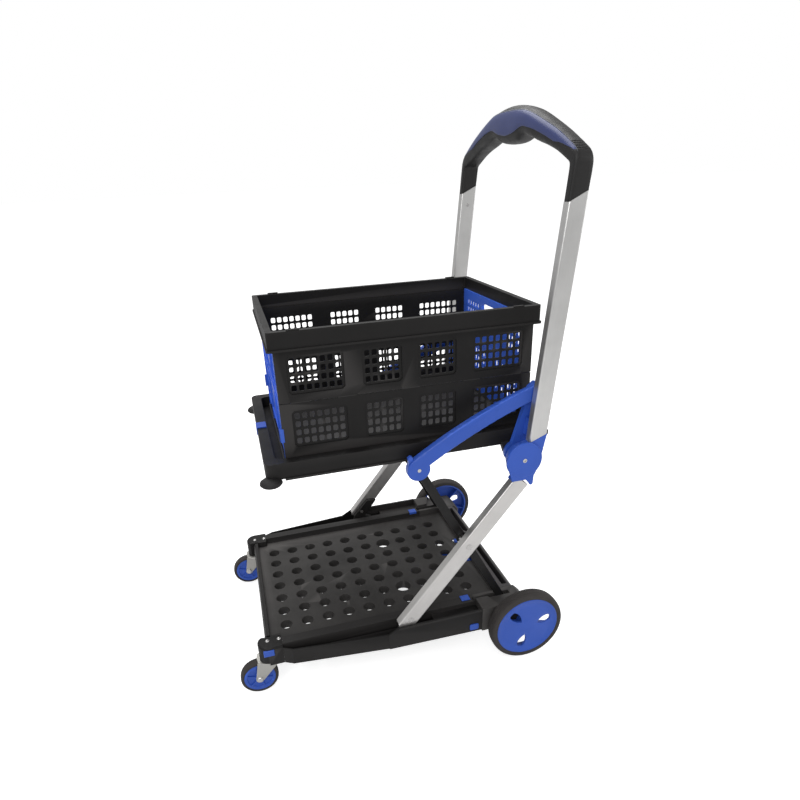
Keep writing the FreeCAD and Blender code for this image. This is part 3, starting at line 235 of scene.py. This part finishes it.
BLACK = (0.0115, 0.0108, 0.0106)
BLUE = (0.032, 0.096, 0.47)
END_WALL_LIT_BLUE = (0.045, 0.135, 0.66)    # the end walls get a lighter blue than the fittings: painted light, for the light they catch
MATERIALS = {
    "black": plastic("black_plastic_look", BLACK, rough=(0.4, 0.54), highlight_gain=3.2, specular=0.2),
    # The deck's grey, lighter than the black plastic, is a painted sheen: it stands in for light reflected
    # off its upward face.
    "deck": plastic("deck_sheen_look", (0.047, 0.0445, 0.043), rough=(0.46, 0.62), grain=0.2, highlight_gain=1.9,
                    specular=0.22, mottle=0.75),
    "pale": plastic("crate_floor_look", (0.055, 0.053, 0.052), rough=(0.46, 0.6), grain=0.16, highlight_gain=1.4,
                    specular=0.22),
    "grey": plastic("grey_plastic_look", (0.05, 0.046, 0.047), highlight_gain=1.5, specular=0.3),
    "blue": plastic("blue_plastic_look", BLUE, rough=(0.34, 0.46), grain=0.07, highlight_gain=1.3, mottle=0.92,
                    specular=0.3, coat=0.08),
    "leg": drawn_metal("leg_metal_look", (0.68, 0.665, 0.65), turn=math.radians(50.36)),
    "tube": drawn_metal("tube_metal_look", (0.67, 0.665, 0.655), turn=math.radians(84.33)),
    "fork": drawn_metal("fork_metal_look", (0.5, 0.49, 0.46), along="Z", rough=(0.35, 0.5), metallic=0.7),
    "strut": plastic("strut_paint_look", (0.011, 0.0105, 0.0105), rough=(0.34, 0.48), grain=0.05, highlight_gain=3.0,
                     specular=0.25),
    "steel": drawn_metal("pin_steel_look", (0.62, 0.61, 0.6), along="Y", rough=(0.2, 0.34), metallic=1.0),
    "tyre": rubber("tyre_look", (0.043, 0.038, 0.0365)),
    "grip": rubber("grip_rubber_look", (0.0145, 0.0138, 0.0138), rough=(0.42, 0.56), grain=0.3,
                   grain_scale=1100.0),
    "insert": plastic("insert_plastic_look", (0.034, 0.048, 0.155), rough=(0.3, 0.4), grain=0.02, highlight_gain=1.3,
                      specular=0.35, coat=0.12, mottle=0.92),
    # The end walls' lighter blue is painted light, not a different plastic.
    "wall": plastic("end_wall_painted_light_look", END_WALL_LIT_BLUE, rough=(0.36, 0.48), grain=0.07, highlight_gain=1.2, mottle=0.93,
                    specular=0.3),
    # Pale colour of the bead on the insert's upper edge: a painted highlight for the glints along that edge.
    "trim": plastic("edge_bead_glint_look", (0.2, 0.215, 0.26), rough=(0.2, 0.3), grain=0.03, highlight_gain=1.2,
                    coat=0.2),
}


def sides(*stems):
    """Names of the left and right nodes for each stem."""
    return [stem + "_" + label for stem in stems for label in ("left", "right")]


LOOK = {
    "black": ["front_beam", "tray_body", "tray_floor", "crate_rim", "seam_hinges",
              *sides("side_rail", "corner_cap", "crate_upper_panel", "crate_lower_panel", "leg_shoe")],
    "deck": ["deck_panel", *sides("wheel_housing")],
    "pale": ["crate_floor"],
    "grey": ["rear_beam"],
    "blue": ["base_clips", "deck_latch", "tray_clip", "wall_catches",
             *sides("leg_socket", "handle_bracket", "arm", "rear_hub", "caster_hub")],
    "wall": ["end_wall_front", "end_wall_rear"],
    "leg": sides("leg"),
    "tube": sides("handle_tube"),
    "fork": sides("caster_fork"),
    "strut": ["cross_rod", *sides("strut")],
    "steel": ["base_pins", "rear_axle", "cap_rivets", "leg_rivets", "tray_pins", "arm_rivets",
              "tube_rivets"],
    "tyre": sides("rear_tyre", "caster_tyre"),
    "grip": ["grip", "tray_feet", "tube_tips"],
    "insert": ["grip_insert"],
}


def dress(obj, look):
    """Gives an object one material of the table above."""
    obj.data.materials.clear()
    obj.data.materials.append(MATERIALS[look])


def round_edges(obj, width):
    """Welds the node's faces together and rolls its hard edges."""
    weld = obj.modifiers.new("weld", "WELD")
    weld.merge_threshold = 0.02 * MM
    flat = obj.modifiers.new("flat", "DECIMATE")
    flat.decimate_type = "DISSOLVE"
    flat.angle_limit = math.radians(1.0)
    bevel = obj.modifiers.new("bevel", "BEVEL")
    bevel.width = width
    bevel.segments = 2
    bevel.limit_method = "ANGLE"
    bevel.angle_limit = math.radians(35.0)
    bevel.harden_normals = False
    bevel.use_clamp_overlap = True


# Width of the rolled edge, in millimetres, and the nodes that have it
ROUND = {
    1.2: ["front_beam", "rear_beam", *sides("corner_cap", "wheel_housing")],
    1.0: ["tray_body", *sides("handle_bracket", "leg_shoe")],
    0.8: ["crate_rim", "rear_axle", *sides("side_rail", "leg_socket", "strut")],
    0.7: ["deck_panel"],
    0.6: ["deck_latch", *sides("caster_fork", "arm")],
    0.5: ["tray_floor", "tray_feet", "end_wall_front", "end_wall_rear", *sides("rear_hub", "caster_hub")],
    0.4: ["crate_floor", "base_clips", "tray_clip", "wall_catches",
          *sides("crate_upper_panel", "crate_lower_panel")],
    0.3: ["cap_rivets", *sides("leg", "handle_tube")],
    0.25: ["tray_pins", "arm_rivets", "leg_rivets"],
}

for look, names in LOOK.items():
    for name in names:
        dress(NODES[name], look)
for width, names in ROUND.items():
    for name in names:
        round_edges(NODES[name], width * MM)


# ---- detail pieces -------------------------------------------------------------------------
def add_piece(name, points, faces, body, look, record_slot, replaced=(), sharp=32.0):
    """Mesh piece that rides on a body and stands for the replaced nodes; sharp is in degrees."""
    mesh = bpy.data.meshes.new(name)
    mesh.from_pydata(points, [], faces)
    mesh.validate()
    for face in mesh.polygons:
        face.use_smooth = True
    mesh.set_sharp_from_angle(angle=math.radians(sharp))
    obj = bpy.data.objects.new(name, mesh)
    SCENE.collection.objects.link(obj)
    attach(obj, body)
    if replaced:
        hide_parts(*replaced)
    dress(obj, look)
    return obj


def skin(rings, closed_path=False):
    """Quads between neighbouring rings of equally many points, capped unless the path is closed."""
    count = len(rings[0])
    points = [point for ring in rings for point in ring]
    faces = []
    last = len(rings) if closed_path else len(rings) - 1
    for i in range(last):
        a, b = i * count, ((i + 1) % len(rings)) * count
        for j in range(count):
            k = (j + 1) % count
            faces.append((a + j, a + k, b + k, b + j))
    if not closed_path:
        faces.append(tuple(range(count))[::-1])
        faces.append(tuple((len(rings) - 1) * count + j for j in range(count)))
    return points, faces


def turned(profile, centre, segments):
    """Skin of a closed (radius, y) profile turned about the Y line through centre."""
    rings = []
    for i in range(segments):
        a = 2 * math.pi * i / segments
        rings.append([Vector((centre[0] + r * math.cos(a), y, centre[1] + r * math.sin(a))) * MM
                      for r, y in profile])
    return skin(rings, closed_path=True)


def tyre_profile(radius, bead, y0, y1, crown, grooves):
    """Round-shouldered tyre with a moulded ring on each sidewall and grooves round the tread."""
    mid, half = (y0 + y1) / 2, (y1 - y0) / 2
    side = [(bead, -half + 1.2), (bead + 1.2, -half + 0.7), (bead + 2.0, -half + 0.9),
            (bead + 2.6, -half + 0.4)]
    count = 56
    for i in range(count + 1):
        a = math.radians(-90 + 180 * i / count)
        y = half * math.copysign(abs(math.sin(a)) ** 0.72, math.sin(a))
        r = radius - crown + crown * max(math.cos(a), 0.0) ** 0.6
        for place, width, depth in grooves:
            if abs(abs(y) - place) < width:
                r -= depth
        side.append((r, y))
    other = [(r, -y) for r, y in side[3::-1]]
    return [(r, mid + y) for r, y in side + other]


# Each groove: distance from the tread's middle, half width, depth
REAR_GROOVES = ((4.5, 0.55, 0.9),)
CASTER_GROOVES = ((2.6, 0.4, 0.5),)
TREAD_INSET = 0.1


def make_tyres():
    for side, label in ((-1, "left"), (1, "right")):
        edges = sorted(side * y for y in REAR_WHEEL_SPAN)
        profile = tyre_profile(REAR_WHEEL[1] - TREAD_INSET, 69.7, *edges, 7.0, REAR_GROOVES)
        add_piece("rear_tyre_tread_" + label, *turned(profile, REAR_WHEEL, 144), "rear_wheel_" + label,
                  "tyre", "tyre", ["rear_tyre_" + label])
        edges = sorted(side * y for y in CASTER_SPAN)
        profile = tyre_profile(CASTER_WHEEL[1] - TREAD_INSET, 32.1, *edges, 4.5, CASTER_GROOVES)
        add_piece("caster_tyre_tread_" + label, *turned(profile, CASTER_WHEEL, 96), "caster_wheel_" + label,
                  "tyre", "tyre", ["caster_tyre_" + label])


# Half of the grip, from the tube head to the middle of the bar: outer point (y, s) of the section,
# its inner point, its depth fore and aft and how far it sits forward
GRIP_STATIONS = (
    (240.0, 167.0, 221.5, 167.0, 35.4, 0.0), (240.2, 186.0, 221.4, 186.0, 35.8, 0.0),
    (240.3, 208.0, 221.0, 206.0, 36.2, 0.0), (239.4, 223.0, 217.5, 214.0, 36.5, 0.3),
    (232.0, 236.0, 206.0, 219.0, 37.5, 0.8), (215.0, 246.5, 188.5, 226.0, 39.0, 1.6),
    (190.0, 259.5, 165.0, 234.5, 41.0, 3.0), (160.0, 273.0, 140.0, 242.0, 43.5, 4.6),
    (128.0, 286.0, 111.0, 249.0, 46.0, 6.0), (94.0, 298.7, 82.0, 257.0, 48.0, 7.0),
    (67.0, 306.8, 60.0, 261.0, 49.5, 7.6), (34.0, 313.2, 32.0, 252.0, 50.0, 8.0),
    (0.0, 315.5, 0.0, 250.0, 50.0, 8.0),
)
LAST_STATION = len(GRIP_STATIONS) - 1


def handle_point(n, y, s):
    """n across the tubes, y across the cart, s up along the tubes."""
    sin_lean, cos_lean = math.sin(HANDLE_LEAN), math.cos(HANDLE_LEAN)
    x = HANDLE_REF[0] + n * cos_lean + s * sin_lean
    z = HANDLE_REF[1] - n * sin_lean + s * cos_lean
    return Vector((x, y, z)) * MM


def grip_station(u):
    """Section sizes at place u along the left half, counted in stations."""
    y_out, s_out, y_in, *others = GRIP_STATIONS[-2]
    beyond = (-y_out, s_out, -y_in, *others)
    before = tuple(2 * a - b for a, b in zip(GRIP_STATIONS[0], GRIP_STATIONS[1]))
    path = [before, *GRIP_STATIONS, beyond]
    i = min(int(u), LAST_STATION - 1)
    t = u - i
    return [0.5 * (2 * b + (c - a) * t + (2 * a - 5 * b + 4 * c - d) * t ** 2
                   + (3 * b - a - 3 * c + d) * t ** 3)
            for a, b, c, d in zip(path[i], path[i + 1], path[i + 2], path[i + 3])]


def grip_place(u, side, angle, proud=0.0, power=2.6, slope=0.0):
    """Point on the grip's skin, raised by proud millimetres."""
    y_out, s_out, y_in, s_in, depth, forward = grip_station(u)
    c, d = math.cos(angle), math.sin(angle)
    unit_n = math.copysign(abs(c) ** (2 / power), c)
    unit_w = math.copysign(abs(d) ** (2 / power), d)
    half_w = math.hypot(y_out - y_in, s_out - s_in) / 2
    n = (depth / 2 + proud) * unit_n
    w = unit_w * (half_w + proud) / half_w
    y = (y_out + y_in) / 2 + (y_out - y_in) / 2 * w
    s = (s_out + s_in) / 2 + (s_out - s_in) / 2 * w
    return handle_point(n - forward, side * y, s + slope * n)


def both_halves(first, last, count):
    """Places along the left half and back along the right one, each with its side."""
    half = [first + (last - first) * i / count for i in range(count + 1)]
    return [(u, -1) for u in half] + [(u, 1) for u in half[-2::-1]]


RIB_SPAN = (3.9, 5.15)              # in stations, from the tube head
RIB_PITCH = 0.25
RIB_DEPTH = 1.1
RIB_START = 0.25                    # sine of the angle where the grooves begin


def rib_depth(u, angle):
    """Five cross grooves over each shoulder, on the outer side only."""
    if not RIB_SPAN[0] < u < RIB_SPAN[1] or math.sin(angle) < RIB_START:
        return 0.0
    wave = 0.5 + 0.5 * math.cos(2 * math.pi * (u - RIB_SPAN[0]) / RIB_PITCH)
    return -RIB_DEPTH * (1 - wave) ** 3 * min(1.0, (math.sin(angle) - RIB_START) * 4)


def make_grip():
    angles = [2 * math.pi * j / GRIP_RING for j in range(GRIP_RING)]
    rings = []
    for u, side in both_halves(0.0, LAST_STATION, 288):
        power = max(2.6, 6.0 - 0.6 * u)
        slope = HEAD_SLOPE * max(0.0, 1 - 0.5 * u)
        rings.append([grip_place(u, side, angle, rib_depth(u, angle) - GRIP_INSET, power, slope)
                      for angle in angles])
    add_piece("grip_ribbed", *skin(rings), "handle", "grip", "grip_rubber", ["grip"], sharp=50.0)


INSERT_LENGTH = 8.4                 # in stations, from the middle of the bar


def insert_span(u):
    """First and last angle of the insert's face: a band on the bar's front, a point at each end."""
    outward = min(1.0, (LAST_STATION - u) / INSERT_LENGTH)
    top = 146 - 18 * min(1.0, 1.6 * outward)
    bottom = 212 - 27 * min(1.0, 2.2 * outward) - 45 * max(0.0, (outward - 0.7) / 0.3)
    return math.radians(top), math.radians(max(bottom, top + 6))


def make_insert():
    """The insert's rounded face, and a pale bead along its upper edge: the bead marks the insert's border,
    and its pale colour is a painted highlight.
    """
    rings, edge = [], []
    for u, side in both_halves(LAST_STATION - INSERT_LENGTH, LAST_STATION, 210):
        top, bottom = insert_span(u)
        raised = [(-1.5, 0.0), (0.5, 0.02), (0.85, 0.06)]
        raised += [(0.9, 0.1 + 0.8 * i / 18) for i in range(19)]
        raised += [(0.85, 0.94), (0.5, 0.98), (-1.5, 1.0)]
        rings.append([grip_place(u, side, top + (bottom - top) * f, proud) for proud, f in raised])
        edge.append((u, side, top))
    add_piece("insert_face", *skin(rings), "handle", "insert", "insert_plastic", ["grip_insert"],
              sharp=50.0)
    # The bead marks the insert's upper border; its pale colour is a painted highlight for the glints along
    # that edge.
    bead = []
    for u, side, top in edge:
        bead.append([grip_place(u, side, top - 0.03 + 0.028 * math.cos(a), 0.2 + 0.7 * math.sin(a))
                     for a in (2 * math.pi * j / 8 for j in range(8))])
    add_piece("insert_edge", *skin(bead), "handle", "trim", "insert_plastic", sharp=60.0)


def hexagon_nut(name, centre, y0, y1, radius, body):
    """Chamfered hexagon nut on an axle end."""
    step = (y1 - y0) * 0.3
    rings = []
    for y, r in ((y0, radius), (y0 + step * 2, radius), (y1, radius * 0.86)):
        rings.append([Vector((centre[0] + r * math.cos(a), y, centre[1] + r * math.sin(a))) * MM
                      for a in (math.radians(60 * j + 12) for j in range(6))])
    add_piece(name, *skin(rings), body, "steel", "pin_steel", sharp=20.0)


def make_nuts():
    for side, label in ((-1, "left"), (1, "right")):
        for outward, place in ((side, "outer"), (-side, "inner")):
            base = side * CASTER_MIDDLE + outward * NUT_SEAT
            hexagon_nut("caster_nut_%s_%s" % (place, label), CASTER_WHEEL, base, base + outward * NUT_HEIGHT,
                        NUT_RADIUS, "caster_" + label)


make_tyres()
make_grip()
make_insert()
make_nuts()


# ---- surroundings --------------------------------------------------------------------------
# Strength of the floor and the sky, as a light on the cart and as the background that is seen
FLOOR_LIT = 0.05
FLOOR_SEEN = 0.72
WORLD_LIT = 0.5
WORLD_SEEN = 1.0
FLOOR_RADIUS = 40.0

# Name, place, what it points at, size and watts of each lamp
LAMPS = (
    ("key", (-1.2, -2.4, 2.4), (0.0, 0.0, 0.5), (1.8, 1.8), 34.0),
    ("fill", (2.4, -1.4, 1.6), (0.0, 0.0, 0.5), (1.4, 1.4), 12.0),
    ("top", (0.1, 1.0, 3.0), (0.0, 0.0, 0.4), (2.4, 2.4), 60.0),
)


def seen_directly(tree, lit, seen):
    """Value lit for the light that falls on the cart, and seen where the background itself shows."""
    path = tree.nodes.new("ShaderNodeLightPath")
    node = tree.nodes.new("ShaderNodeMapRange")
    node.inputs["To Min"].default_value = lit
    node.inputs["To Max"].default_value = seen
    tree.links.new(path.outputs["Is Camera Ray"], node.inputs["Value"])
    return node.outputs["Result"]


def make_stage():
    mesh = bpy.data.meshes.new("floor")
    form = bmesh.new()
    bmesh.ops.create_circle(form, cap_ends=True, segments=64, radius=FLOOR_RADIUS)
    form.to_mesh(mesh)
    form.free()
    floor = bpy.data.objects.new("floor", mesh)
    SCENE.collection.objects.link(floor)
    material, tree, shader = new_material("floor_look")
    cloud = noise(tree, texture_space(tree), 1.5, 2.0)
    tree.links.new(ramp(tree, cloud, [(0.3, (0.8, 0.8, 0.8)), (0.7, (0.82, 0.82, 0.82))]),
                   shader.inputs["Base Color"])
    shader.inputs["Roughness"].default_value = 0.9
    shader.inputs["Specular IOR Level"].default_value = 0.1
    shader.inputs["Emission Color"].default_value = (1.0, 1.0, 1.0, 1.0)
    tree.links.new(seen_directly(tree, FLOOR_LIT, FLOOR_SEEN), shader.inputs["Emission Strength"])
    mesh.materials.append(material)


def area_light(name, position, target, size, power):
    data = bpy.data.lights.new(name, "AREA")
    data.shape = "RECTANGLE"
    data.size, data.size_y = size
    data.energy = power
    light = bpy.data.objects.new(name, data)
    light.location = position
    light.rotation_euler = (Vector(target) - Vector(position)).to_track_quat("-Z", "Y").to_euler()
    SCENE.collection.objects.link(light)


def make_light():
    world = bpy.data.worlds.new("studio")
    world.use_nodes = True
    background = world.node_tree.nodes["Background"]
    background.inputs["Color"].default_value = (1.0, 1.0, 1.0, 1.0)
    strength = seen_directly(world.node_tree, WORLD_LIT, WORLD_SEEN)
    world.node_tree.links.new(strength, background.inputs["Strength"])
    SCENE.world = world
    for lamp in LAMPS:
        area_light(*lamp)
    SCENE.view_settings.view_transform = "Standard"


make_camera()
make_stage()
make_light()
